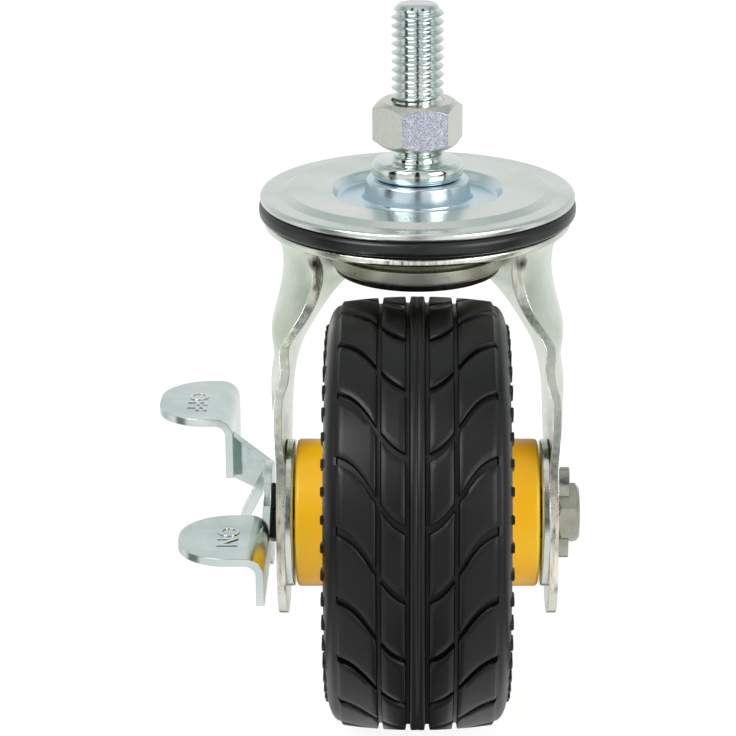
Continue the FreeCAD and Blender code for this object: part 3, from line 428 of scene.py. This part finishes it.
def closed_mesh(work, name):
    """Mesh data with its doubles merged and its open ends filled."""
    merge = 0.001 * MM
    bmesh.ops.remove_doubles(work, verts=work.verts, dist=merge)
    bmesh.ops.dissolve_degenerate(work, dist=merge / 2, edges=work.edges)
    open_edges = [edge for edge in work.edges if edge.is_boundary]
    if open_edges:
        bmesh.ops.holes_fill(work, edges=open_edges)
    return mesh_from(work, name)


def thread_profile():
    """Places and radii over one pitch, from one crest to the next, with a rolled round root."""
    root = STUD_RADIUS - THREAD_DEPTH
    ease = THREAD_DEPTH * 0.06
    return [(0.0, STUD_RADIUS - ease), (0.06, STUD_RADIUS), (0.12, STUD_RADIUS - ease),
            (0.3, root + THREAD_DEPTH * 0.38), (0.4, root + THREAD_DEPTH * 0.12), (0.5, root + ease * 0.3),
            (0.62, root + ease * 0.3), (0.72, root + THREAD_DEPTH * 0.12), (0.82, root + THREAD_DEPTH * 0.38)]


def stud_thread():
    """The threaded stud as one helical skin with a chamfered end."""
    low = COLLAR_TOP - STUD_SUNK
    high = STUD_TOP
    turns = math.ceil((high - low) / THREAD_PITCH) + 2
    rows = []
    for turn in range(-1, turns):
        for share, radius in thread_profile():
            row = []
            for step in range(THREAD_STEPS + 1):
                angle = 2 * math.pi * step / THREAD_STEPS
                height = low + (turn + share + step / THREAD_STEPS) * THREAD_PITCH
                held = min(max(height, low), high)
                reach = min(radius, STUD_END_RADIUS + (high - held))
                if height < low:
                    reach = STUD_RADIUS - THREAD_DEPTH
                row.append((reach * math.cos(angle), reach * math.sin(angle), held))
            rows.append(row)
    return closed_mesh(skin(rows), "stud_thread")


def arc(centre, radius, start, stop, steps=6):
    """Points along an arc, as radius and height pairs, between two angles in degrees."""
    angles = [math.radians(start + (stop - start) * i / steps) for i in range(steps + 1)]
    return [(centre[0] + radius * math.cos(angle), centre[1] + radius * math.sin(angle)) for angle in angles]


def stem_collar():
    """Neck, round collar, spigot, kingpin and riveted end under the stud."""
    seat = COLLAR_TOP + NECK_SEAT
    neck_top = COLLAR_TOP + NECK_RISE
    rim = COLLAR_RADIUS - COLLAR_ROUND
    shoulder = COLLAR_BASE - SPIGOT_DEPTH
    points = [(0.0, seat), (STUD_RADIUS - THREAD_DEPTH, seat)]
    points += arc((NECK_RADIUS - NECK_ROUND, neck_top - NECK_ROUND), NECK_ROUND, 130, 0)
    points += arc((NECK_RADIUS + COLLAR_FILLET, COLLAR_TOP + COLLAR_FILLET), COLLAR_FILLET, 180, 270)
    points += arc((rim, COLLAR_TOP - COLLAR_ROUND), COLLAR_ROUND, 90, 0)
    points += arc((rim, COLLAR_BASE + COLLAR_ROUND), COLLAR_ROUND, 0, -90)
    points += [(SPIGOT_RADIUS, COLLAR_BASE), (SPIGOT_RADIUS, shoulder),
               (KINGPIN_RADIUS, shoulder), (KINGPIN_RADIUS, KINGPIN_BASE),
               (RIVET_RADIUS, KINGPIN_BASE), (RIVET_RADIUS, RIVET_HEAD_TOP),
               (RIVET_HEAD_RADIUS, RIVET_HEAD_TOP)]
    points += arc((RIVET_HEAD_RADIUS - RIVET_HEAD_ROUND, RIVET_HEAD_BASE + RIVET_HEAD_ROUND),
                  RIVET_HEAD_ROUND, 0, -90, 4)
    points += [(0.0, RIVET_HEAD_BASE)]
    angles = [2 * math.pi * step / COLLAR_STEPS for step in range(COLLAR_STEPS)]
    rows = [[(radius * math.cos(angle), radius * math.sin(angle), height) for radius, height in points]
            for angle in angles]
    return closed_mesh(skin(rows, closed=True), "stem_collar")


def crown_radius(across):
    """The tyre's radius before any groove, a little less towards its shoulders."""
    return TYRE_RADIUS - TYRE_CROWN * (across / TREAD_HALF) ** 2


def cut_lift(across):
    """How far round the tyre a slanted cut has climbed at a place across the tread."""
    share = (abs(across) - CENTRE_GROOVE) / (TREAD_HALF - CENTRE_GROOVE)
    share = min(max(share, 0.0), 1.0)
    return CUT_RISE * (share - CUT_SWAY * math.sin(2 * math.pi * share) / (2 * math.pi))


def tread_columns():
    """Places across the half tread with the depth there and whether the slanted cuts cross it."""
    columns = [(0.0, HAIRLINE, False), (HAIRLINE, 0.0, False), (HAIRLINE_SIDE, 0.0, False)]
    for place, rib_end, steps, cut_before in (
            (CENTRE_GROOVE, SIDE_GROOVE - GROOVE_HALF, INNER_RIB_STEPS, False),
            (SIDE_GROOVE, TREAD_HALF, OUTER_RIB_STEPS, True)):
        columns += [(place - GROOVE_HALF - EDGE_ROUND, 0.0, cut_before),
                    (place - GROOVE_HALF, EDGE_SINK, cut_before),
                    (place - GROOVE_HALF + GROOVE_DRAFT, GROOVE_DEPTH, cut_before),
                    (place + GROOVE_HALF - GROOVE_DRAFT, GROOVE_DEPTH, True),
                    (place + GROOVE_HALF, EDGE_SINK, True),
                    (place + GROOVE_HALF + EDGE_ROUND, 0.0, True)]
        start = place + GROOVE_HALF + EDGE_ROUND
        end = rib_end - EDGE_ROUND
        columns += [(start + (end - start) * i / steps, 0.0, True) for i in range(1, steps)]
    return columns + [(TREAD_HALF - EDGE_ROUND, 0.0, True), (TREAD_HALF, EDGE_SINK, True)]


def tyre_columns():
    """Half of the tyre's section: place across, radius, and whether the cuts cross it."""
    columns = [(x, crown_radius(x) - depth, cut) for x, depth, cut in tread_columns()]
    step = crown_radius(TREAD_HALF) - SHOULDER_STEP
    ledge = TREAD_HALF + SHOULDER_LEDGE
    wide = step - SHOULDER_ROUND
    columns.append((ledge, step, False))
    for i in range(1, SHOULDER_STEPS + 1):
        angle = math.radians(90 * i / SHOULDER_STEPS)
        across = ledge + (TYRE_HALF - ledge) * math.sin(angle)
        columns.append((across, wide + SHOULDER_ROUND * math.cos(angle), False))
    for i in range(1, WALL_STEPS + 1):
        share = i / WALL_STEPS
        bulge = WALL_BULGE * 4 * share * (1 - share)
        across = TYRE_HALF + (BEAD_HALF - TYRE_HALF) * share + bulge
        columns.append((across, wide + (BEAD_RADIUS - wide) * share, False))
    return columns


def pitch_rows():
    """Places along one pitch of the tread, with the share of a slanted cut's depth at each."""
    pitch = 2 * math.pi * TYRE_RADIUS / CUT_COUNT
    start = CUT_HALF + EDGE_ROUND
    end = pitch - CUT_HALF - EDGE_ROUND
    rows = [(0.0, 1.0), (CUT_HALF - GROOVE_DRAFT, 1.0), (CUT_HALF, EDGE_SINK / GROOVE_DEPTH), (start, 0.0)]
    rows += [(start + (end - start) * i / BLOCK_STEPS, 0.0) for i in range(1, BLOCK_STEPS)]
    rows += [(end, 0.0), (pitch - CUT_HALF, EDGE_SINK / GROOVE_DEPTH),
             (pitch - CUT_HALF + GROOVE_DRAFT, 1.0), (pitch, 1.0)]
    return rows


def tread_tile():
    """One pitch of the tyre: ribs, grooves and the two swaying cuts, down to both beads."""
    half = tyre_columns()
    section = [(-x, radius, cut) for x, radius, cut in reversed(half[1:])] + half
    rows = []
    for place, cut_share in pitch_rows():
        row = []
        for across, radius, cut in section:
            if cut and cut_share > 0:
                radius = min(radius, crown_radius(across) - GROOVE_DEPTH * cut_share)
            angle = (place + cut_lift(across)) / TYRE_RADIUS
            row.append((across, -radius * math.cos(angle), radius * math.sin(angle)))
        rows.append(row)
    return mesh_from(skin(rows), "tread_tile")


def lug_pair():
    """Two small round-edged bars, one on each sidewall, standing up from the axle."""
    work = bmesh.new()
    top = crown_radius(TREAD_HALF) - SHOULDER_STEP - LUG_DROP
    for sign in (-1, 1):
        made = bmesh.ops.create_cube(work, size=1.0)
        bmesh.ops.scale(work, verts=made["verts"], vec=(LUG_THICK, LUG_WIDTH, LUG_LENGTH))
        centre = Vector((sign * (TYRE_HALF + LUG_PROUD - LUG_THICK / 2), 0, top - LUG_LENGTH / 2))
        bmesh.ops.translate(work, verts=made["verts"], vec=centre)
    edges = list(work.edges)
    bmesh.ops.bevel(work, geom=edges, offset=LUG_EASE, segments=1, profile=0.5, affect="EDGES")
    half_pitch = Matrix.Rotation(math.pi / LUG_COUNT, 4, "X")
    bmesh.ops.transform(work, matrix=half_pitch, verts=work.verts)
    return mesh_from(work, "lug_pair")


def ring_tree(name):
    """Geometry nodes that repeat a piece round the axle, join it and give it its material."""
    tree = bpy.data.node_groups.new(name, "GeometryNodeTree")
    for label, way, kind in (("Piece", "INPUT", "Object"), ("Count", "INPUT", "Int"),
                             ("Join Distance", "INPUT", "Float"), ("Material", "INPUT", "Material"),
                             ("Geometry", "OUTPUT", "Geometry")):
        tree.interface.new_socket(name=label, in_out=way, socket_type=f"NodeSocket{kind}")
    given = add(tree, "NodeGroupInput").outputs
    source = add(tree, "GeometryNodeObjectInfo", Object=given["Piece"])
    points = add(tree, "GeometryNodePoints", Count=given["Count"])
    index = add(tree, "GeometryNodeInputIndex")
    share = add(tree, "ShaderNodeMath", {"operation": "DIVIDE"}, _0=index.outputs[0], _1=given["Count"])
    angle = add(tree, "ShaderNodeMath", {"operation": "MULTIPLY"}, _0=share.outputs[0], _1=2 * math.pi)
    turn = add(tree, "ShaderNodeCombineXYZ", X=angle.outputs[0])
    ring = add(tree, "GeometryNodeInstanceOnPoints", Points=points.outputs[0],
               Instance=source.outputs["Geometry"], Rotation=turn.outputs[0])
    real = add(tree, "GeometryNodeRealizeInstances", Geometry=ring.outputs[0])
    joined = add(tree, "GeometryNodeMergeByDistance", Geometry=real.outputs[0],
                 Distance=given["Join Distance"])
    dressed = add(tree, "GeometryNodeSetMaterial", Geometry=joined.outputs[0], Material=given["Material"])
    add(tree, "NodeGroupOutput", Geometry=dressed.outputs[0])
    return tree


def ringed(name, tree, piece_mesh, count, join, material):
    """The ring of a repeated piece as plain mesh data, moved to the axle."""
    piece = into_scene(piece_mesh.name, piece_mesh)
    host = into_scene(name, bpy.data.meshes.new(name))
    modifier = host.modifiers.new("ring", "NODES")
    modifier.node_group = tree
    values = {"Piece": piece, "Count": count, "Join Distance": join, "Material": material}
    for socket in tree.interface.items_tree:
        if socket.in_out == "INPUT":
            modifier[socket.identifier] = values[socket.name]
    bpy.context.view_layer.update()
    graph = bpy.context.evaluated_depsgraph_get()
    mesh = bpy.data.meshes.new_from_object(host.evaluated_get(graph))
    host.modifiers.remove(modifier)
    bpy.data.objects.remove(host)
    bpy.data.objects.remove(piece)
    mesh.transform(Matrix.Translation(AXLE))
    mesh.name = name
    return mesh


def tyre_body(tree, material):
    """The whole tyre: one pitch repeated round the axle, closed along its bore."""
    mesh = ringed("tyre_tread", tree, tread_tile(), CUT_COUNT, PITCH_JOIN, material)
    work = bmesh.new()
    work.from_mesh(mesh)
    rims = [edge for edge in work.edges if edge.is_boundary]
    bmesh.ops.bridge_loops(work, edges=rims)
    bmesh.ops.recalc_face_normals(work, faces=work.faces)
    work.to_mesh(mesh)
    work.free()
    return piece_from(mesh, "tyre_tread", material, 50)


def pressed_word(text, place, material):
    """A word raised a little from a pedal, read from the brake's outer side."""
    curve = bpy.data.curves.new(f"word_{text}", "FONT")
    curve.body = text
    curve.size = WORD_HEIGHT
    curve.align_x = "CENTER"
    curve.align_y = "CENTER"
    curve.space_character = WORD_SPACING
    curve.extrude = WORD_PROUD
    curve.offset = WORD_BOLD
    source = into_scene(f"word_{text}", curve)
    bpy.context.view_layer.update()
    graph = bpy.context.evaluated_depsgraph_get()
    mesh = bpy.data.meshes.new_from_object(source.evaluated_get(graph))
    bpy.data.objects.remove(source)
    turn = Matrix.Rotation(-math.pi / 2, 4, "Z")
    mesh.transform(Matrix.Translation(AXLE + place) @ turn)
    return piece_from(mesh, f"word_{text.lower()}", material, 40)


def point_camera():
    """A camera placed and set as the photograph's was."""
    data = bpy.data.cameras.new("camera")
    data.sensor_width = SENSOR
    data.lens = FOCAL_PIXELS / IMAGE_PIXELS * SENSOR
    data.shift_x = -(CENTRE_PIXEL - IMAGE_PIXELS / 2) / IMAGE_PIXELS
    data.clip_start = 0.01
    camera = into_scene("camera", data)
    ahead = Vector((0, math.cos(VIEW_DROP), -math.sin(VIEW_DROP)))
    camera.location = VIEW_AIM - ahead * VIEW_DISTANCE
    camera.rotation_euler = (math.pi / 2 - VIEW_DROP, 0, 0)
    bpy.context.scene.camera = camera


def lamp(name, place, width, height, watts):
    """A white soft box that points at the caster."""
    data = bpy.data.lights.new(name, "AREA")
    data.shape = "RECTANGLE"
    data.size = width
    data.size_y = height
    data.energy = watts
    item = into_scene(name, data)
    item.location = place
    item.rotation_euler = (LAMP_AIM - Vector(place)).to_track_quat("-Z", "Y").to_euler()


def studio_banks(tree, toward):
    """White light banks round the part, with dark gaps beside and behind the camera."""
    split = add(tree, "ShaderNodeSeparateXYZ", Vector=toward)
    side = add(tree, "ShaderNodeMath", {"operation": "ABSOLUTE"}, _0=split.outputs["X"])
    turn = add(tree, "ShaderNodeMath", {"operation": "ARCTAN2"}, _0=side.outputs[0], _1=split.outputs["Y"])
    share = add(tree, "ShaderNodeMapRange", Value=turn.outputs[0], From_Min=0.0, From_Max=math.pi)
    banks = add(tree, "ShaderNodeValToRGB", Fac=share.outputs["Result"], stops=[
        (0.0, "#ffffff"), (0.25, "#f4f8f7"), (0.4, "#c6cfca"), (0.5, "#f8faf9"), (0.56, "#ffffff"),
        (0.59, "#2c302c"), (0.68, "#1f221f"), (0.71, "#f4f6f3"), (0.955, "#ffffff"), (0.972, "#2f3331")])
    return banks.outputs["Color"]


def studio_world():
    """White to the camera; elsewhere a soft studio with darker gaps between its light banks."""
    world = bpy.data.worlds.new("studio")
    bpy.context.scene.world = world
    world.use_nodes = True
    tree = world.node_tree
    tree.nodes.clear()
    toward = add(tree, "ShaderNodeTexCoord").outputs["Generated"]
    split = add(tree, "ShaderNodeSeparateXYZ", Vector=toward)
    rise = add(tree, "ShaderNodeMapRange", Value=split.outputs["Z"], From_Min=-1.0, From_Max=1.0)
    ceiling = add(tree, "ShaderNodeValToRGB", Fac=rise.outputs["Result"], stops=[
        (0.0, "#f6f5f0"), (0.45, "#ffffff"), (0.7, "#f6faf9"), (0.85, "#c9d3d3"), (1.0, "#ffffff")])
    walls = add(tree, "ShaderNodeMix", {"data_type": "RGBA", "blend_type": "MULTIPLY"}, Factor=1.0,
                A=studio_banks(tree, toward), B=ceiling.outputs["Color"])
    room = add(tree, "ShaderNodeBackground", Color=walls.outputs["Result"], Strength=0.85)
    white = add(tree, "ShaderNodeBackground", Color=linear("#ffffff"), Strength=1.0)
    path = add(tree, "ShaderNodeLightPath")
    seen = add(tree, "ShaderNodeMixShader", Fac=path.outputs["Is Camera Ray"], _1=room.outputs[0],
               _2=white.outputs[0])
    add(tree, "ShaderNodeOutputWorld", Surface=seen.outputs[0])


def white_floor():
    """A pale floor that keeps a soft contact shadow, and shows the light banks to metal."""
    mesh = bpy.data.meshes.new("floor")
    corners = [(x * FLOOR_REACH, y * FLOOR_REACH, FLOOR) for x, y in ((-1, -1), (1, -1), (1, 1), (-1, 1))]
    mesh.from_pydata(corners, [], [(0, 1, 2, 3)])
    material, tree, place = new_material("white_paper")
    paper = add(tree, "ShaderNodeBsdfDiffuse", Color=linear("#f4f4f2"))
    glow = add(tree, "ShaderNodeEmission", Color=linear("#ffffff"), Strength=1.14)
    banks = add(tree, "ShaderNodeEmission", Color=studio_banks(tree, place), Strength=0.95)
    path = add(tree, "ShaderNodeLightPath")
    lit = add(tree, "ShaderNodeMixShader", Fac=path.outputs["Is Camera Ray"], _1=banks.outputs[0],
              _2=glow.outputs[0])
    seen = add(tree, "ShaderNodeMath", {"operation": "MAXIMUM"}, _0=path.outputs["Is Camera Ray"],
               _1=path.outputs["Is Glossy Ray"])
    amount = add(tree, "ShaderNodeMath", {"operation": "MULTIPLY"}, _0=seen.outputs[0], _1=0.8)
    both = add(tree, "ShaderNodeMixShader", Fac=amount.outputs[0], _1=paper.outputs[0], _2=lit.outputs[0])
    add(tree, "ShaderNodeOutputMaterial", Surface=both.outputs[0])
    mesh.materials.append(material)
    floor = into_scene("floor", mesh)


# Bright zinc on the side discs: a clean mirror of the white room.
bright_zinc = zinc_plate("bright_zinc_plate", "#ccd6d6", "#dce3e2", "#eaeeec", 0.16)
# Zinc on the rolled thread and the collar: the glossiest plating, with hard bright lines.
stud_zinc = zinc_plate("rolled_thread_zinc", "#d2dcdb", "#e0e7e6", "#edf1ef", 0.06)
# Zinc on the cup under the crown: dull and warmer in tone.
cup_zinc = zinc_plate("satin_cup_zinc", "#dad9cd", "#e8e6da", "#f2f0e6", 0.34, 0.72)
# Zinc on the brake: cool, and slightly darker than the discs.
brake_zinc = zinc_plate("brake_zinc_plate", "#c4d2d1", "#d3dedc", "#e2e9e7", 0.18)
# Zinc on the forged axle head: greyer and duller than on the sheet.
axle_zinc = zinc_plate("axle_head_zinc", "#96978c", "#b3b2a5", "#d1d0c4", 0.22)
fork_zinc = sheared_plate("fork_zinc_plate")
disc_zinc = turned_zinc("spun_zinc_plate")
nut_zinc = speckled_nut("forged_nut_zinc")
blackened = black_steel("blackened_steel")
bearing_steel = ground_steel("ground_bearing_steel")
# The tyre's rubber is nearly black and matt, and the seal's is smoother, with a clear highlight.
tyre_rubber = moulded_rubber("moulded_tyre_rubber", "#060606", "#0e0d0c", 0.38, 0.36)
seal_rubber = moulded_rubber("smooth_seal_rubber", "#121314", "#1a1b1d", 0.28, 0.5)
hub_nylon = moulded_nylon("golden_moulded_nylon")

finishes = {
    "stem_nut": nut_zinc, "top_disc": disc_zinc, "dust_seal": seal_rubber, "lower_race": cup_zinc,
    "bottom_cover": seal_rubber, "fork": fork_zinc, "axle_bolt": axle_zinc, "brake_rocker": brake_zinc,
    "brake_nut": blackened, "wheel_hub": hub_nylon, "side_disc_left": bright_zinc,
    "side_disc_right": bright_zinc,
}
for name, node in nodes.items():
    node.data.materials.clear()
    node.data.materials.append(finishes.get(name, bearing_steel))

stud = piece_from(stud_thread(), "stud_thread", stud_zinc, 60)
collar = piece_from(stem_collar(), "stem_collar", stud_zinc, 35)
for item in (stud, collar):
    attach(item, "stem")
    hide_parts("threaded_stem")

rings = ring_tree("ring_round_axle")
tyre = tyre_body(rings, tyre_rubber)
lugs = piece_from(ringed("sidewall_lugs", rings, lug_pair(), LUG_COUNT, 0.0, tyre_rubber), "sidewall_lugs",
                  tyre_rubber, 40)
for item in (tyre, lugs):
    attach(item, "wheel")
    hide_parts("tyre")

front_word = pressed_word("ON", FRONT_WORD, bright_zinc)
rear_word = pressed_word("OFF", REAR_WORD, bright_zinc)
for item in (front_word, rear_word):
    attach(item, "brake")

studio_world()
white_floor()
lamp("key", (-0.5, -0.5, 0.7), 0.5, 0.5, 5.0)
lamp("fill", (0.6, -0.5, 0.3), 0.5, 0.6, 3.0)
point_camera()
bpy.context.scene.view_settings.view_transform = "Standard"
